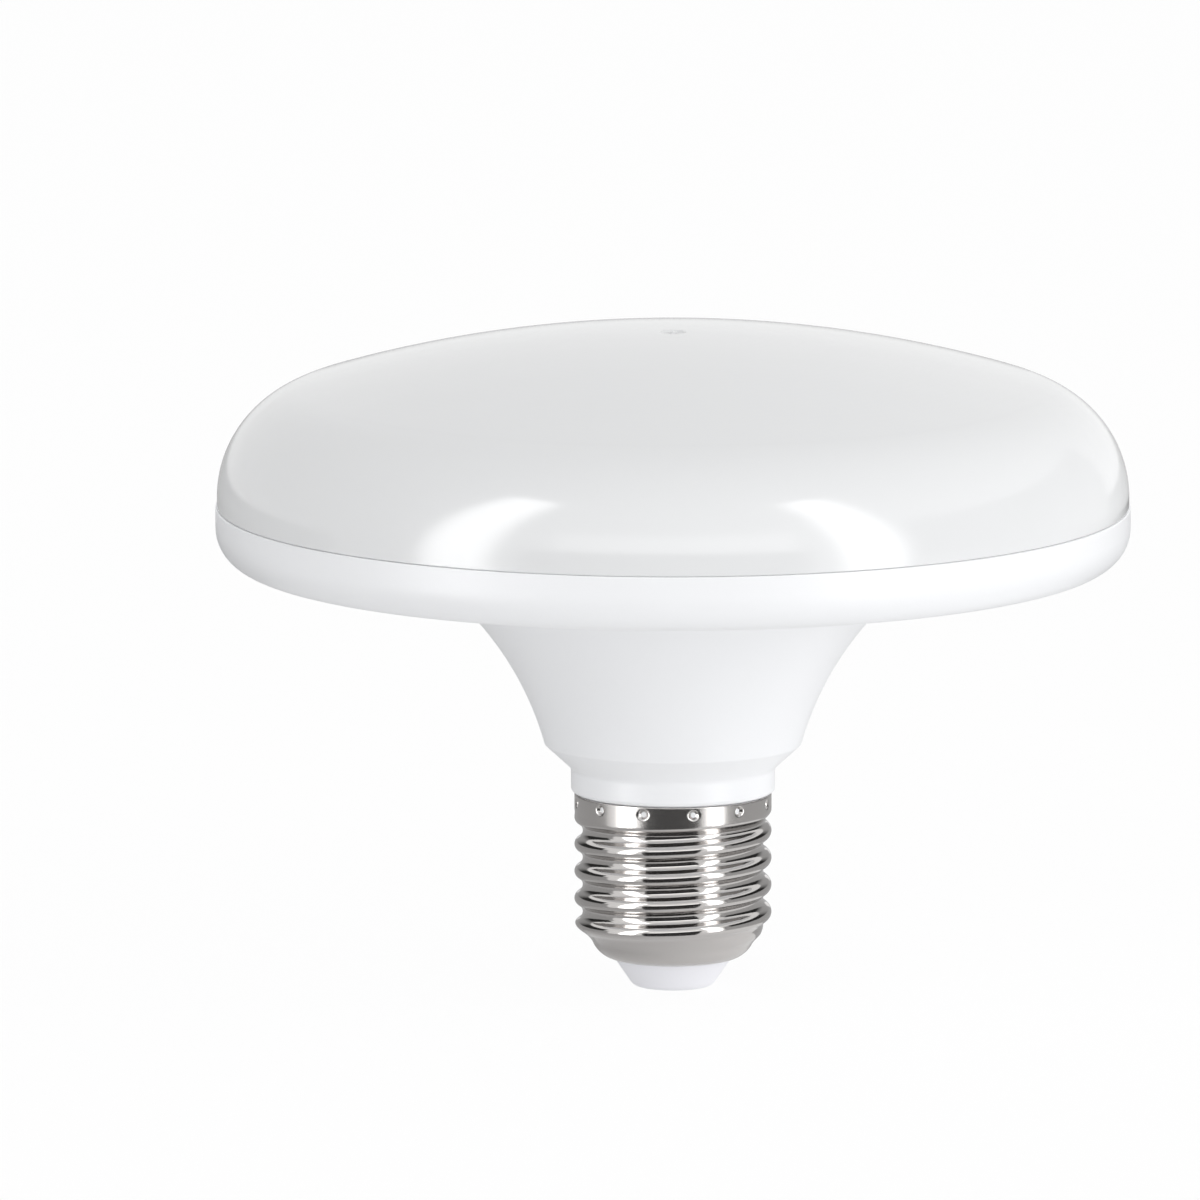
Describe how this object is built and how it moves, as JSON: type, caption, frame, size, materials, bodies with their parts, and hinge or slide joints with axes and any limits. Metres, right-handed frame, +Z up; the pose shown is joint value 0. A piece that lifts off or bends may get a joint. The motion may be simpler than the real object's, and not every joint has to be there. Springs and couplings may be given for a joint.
{
  "type": "ufo led bulb",
  "caption": "Wide flat LED lamp: opal domed diffuser on a white flared housing with an E27 screw cap; LED board, heat sink and driver inside.",
  "frame": {"origin": "tip of the centre contact, on the lamp's axis", "axes": "+Z up the lamp's axis from the screw cap to the diffuser; -Y towards the picture's camera"},
  "size_m": [0.121, 0.121, 0.0879],
  "materials": {
    "opal_polycarbonate": "opal, glossy",
    "white_housing": "satin moulded",
    "nickel_plate": "bright nickel",
    "white_insulator": "satin moulded",
    "contact_metal": "bright nickel",
    "pressed_aluminium": "mill",
    "white_solder_mask": "satin",
    "led_silicone": "phosphor-filled silicone",
    "zinc_plated_steel": "zinc plated",
    "connector_plastic": "moulded",
    "green_circuit_board": "solder mask",
    "ferrite": "sintered",
    "black_phenolic": "moulded",
    "enamelled_copper": "enamelled",
    "capacitor_sleeve": "shrunk sleeve",
    "yellow_epoxy_box": "moulded",
    "blue_epoxy": "dipped",
    "green_sleeve": "shrunk sleeve",
    "resistor_lacquer": "lacquered",
    "black_epoxy": "moulded",
    "chip_ceramic": "glazed top",
    "brown_insulation": "extruded",
    "tinned_copper": "tinned",
    "red_insulation": "extruded",
    "black_insulation": "extruded"
  },
  "bodies": {
    "root": {"diffuser": "opal_polycarbonate", "housing": "white_housing", "screw_cap": "nickel_plate", "cap_insulator": "white_insulator", "centre_contact": "contact_metal", "heat_sink": "pressed_aluminium", "led_board": "white_solder_mask", "board_screws": "zinc_plated_steel", "led_connector": "connector_plastic", "driver_board": "green_circuit_board", "inductor_core": "ferrite", "inductor_bobbin": "black_phenolic", "inductor_winding": "enamelled_copper", "output_capacitor": "capacitor_sleeve", "input_capacitor": "capacitor_sleeve", "film_capacitor": "yellow_epoxy_box", "varistor": "blue_epoxy", "filter_choke": "green_sleeve", "fuse_resistor": "resistor_lacquer", "bridge_rectifier": "black_epoxy", "driver_ic": "black_epoxy", "freewheel_diode": "black_epoxy", "sense_resistor_1": "chip_ceramic", "sense_resistor_2": "chip_ceramic", "sense_resistor_3": "chip_ceramic", "live_wire": "brown_insulation", "neutral_wire": "tinned_copper", "led_wire_positive": "red_insulation", "led_wire_negative": "black_insulation", "led_1": "led_silicone", "led_2": "led_silicone", "led_3": "led_silicone", "led_4": "led_silicone", "led_5": "led_silicone", "led_6": "led_silicone", "led_7": "led_silicone", "led_8": "led_silicone", "led_9": "led_silicone", "led_10": "led_silicone", "led_11": "led_silicone", "led_12": "led_silicone", "led_13": "led_silicone", "led_14": "led_silicone", "led_15": "led_silicone", "led_16": "led_silicone", "led_17": "led_silicone", "led_18": "led_silicone", "led_19": "led_silicone", "led_20": "led_silicone", "led_21": "led_silicone", "led_22": "led_silicone", "led_23": "led_silicone", "led_24": "led_silicone"}
  },
  "joints": []
}
